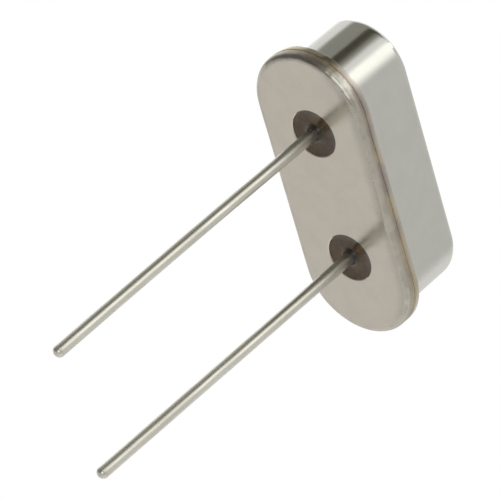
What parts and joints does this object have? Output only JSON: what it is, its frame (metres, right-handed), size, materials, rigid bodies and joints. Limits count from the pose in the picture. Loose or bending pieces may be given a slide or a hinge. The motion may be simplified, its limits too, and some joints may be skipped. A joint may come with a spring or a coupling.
{
  "type": "crystal oscillator",
  "caption": "Low-profile quartz crystal in a welded obround metal can, with a flat glass-sealed base and two straight wire leads.",
  "frame": {"origin": "centre of the base's flat outer face, midway between the two leads", "axes": "+Z out of the board through the can, X from the left lead to the right lead, Y across the narrow way; the leads point along -Z"},
  "size_m": [0.011, 0.0044, 0.0171],
  "materials": {
    "header_plating": "satin",
    "can_plating": "gloss",
    "lead_wire": "gloss",
    "seal_glass": "gloss",
    "clip_spring": "satin",
    "quartz": "polished",
    "metal_film": "gloss",
    "conductive_adhesive": "matte"
  },
  "bodies": {
    "root": {"base_plate": "header_plating", "can": "can_plating", "lead_left": "lead_wire", "lead_right": "lead_wire", "glass_seal_left": "seal_glass", "glass_seal_right": "seal_glass", "clip_left": "clip_spring", "clip_right": "clip_spring", "quartz_blank": "quartz", "electrode_top": "metal_film", "electrode_bottom": "metal_film", "adhesive_left": "conductive_adhesive", "adhesive_right": "conductive_adhesive"}
  },
  "joints": []
}
